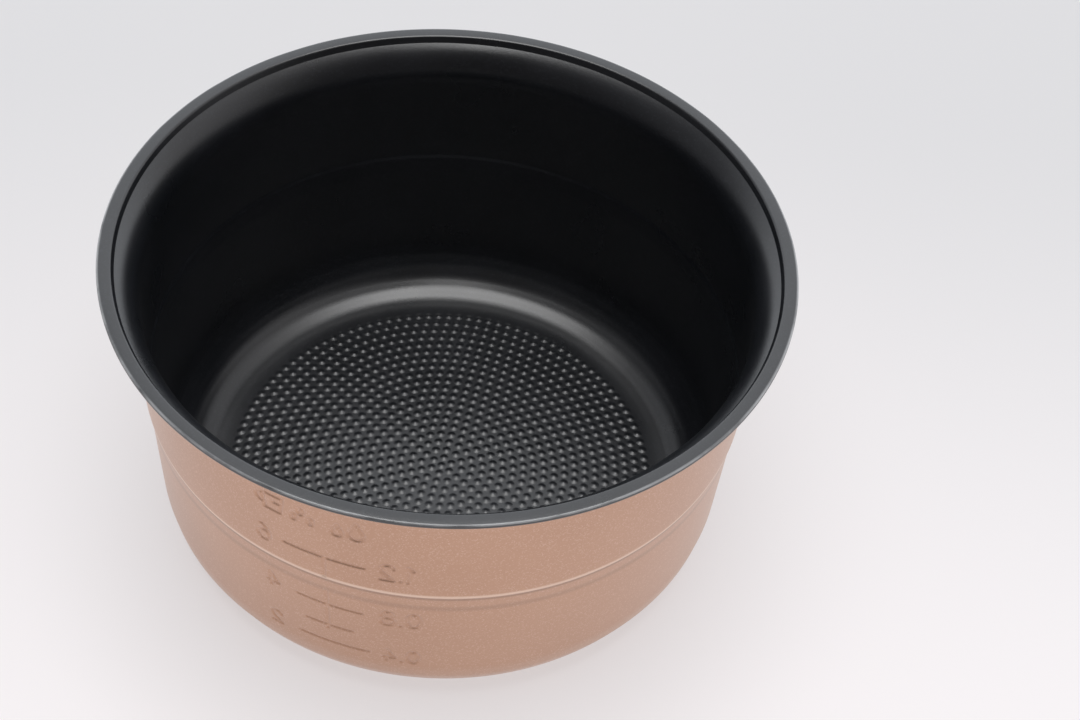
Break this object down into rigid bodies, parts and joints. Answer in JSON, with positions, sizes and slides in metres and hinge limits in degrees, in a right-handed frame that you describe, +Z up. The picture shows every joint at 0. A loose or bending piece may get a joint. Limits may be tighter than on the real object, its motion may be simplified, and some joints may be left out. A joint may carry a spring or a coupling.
{
  "type": "rice cooker inner pot",
  "caption": "Removable round inner pot of a rice cooker: flanged rim, flared mouth, shouldered wall, rounded base and dimpled non-stick floor.",
  "frame": {"origin": "centre of the flat contact face of the base", "axes": "+Z up along the pot's axis, -Y towards the front; the level scale is on the wall 20 degrees to the -X side of -Y"},
  "size_m": [0.24, 0.24, 0.121],
  "materials": {
    "aluminium": "bare spun aluminium, fine turned rings, only on the contact face of the base",
    "nonstick": "black non-stick coating with a faint fleck and a soft satin gloss",
    "copper_paint": "satin rose-copper metallic heat-resistant paint"
  },
  "bodies": {
    "root": {"pot_shell": "aluminium", "nonstick_coating": "nonstick", "outer_coating": "copper_paint"}
  },
  "joints": []
}
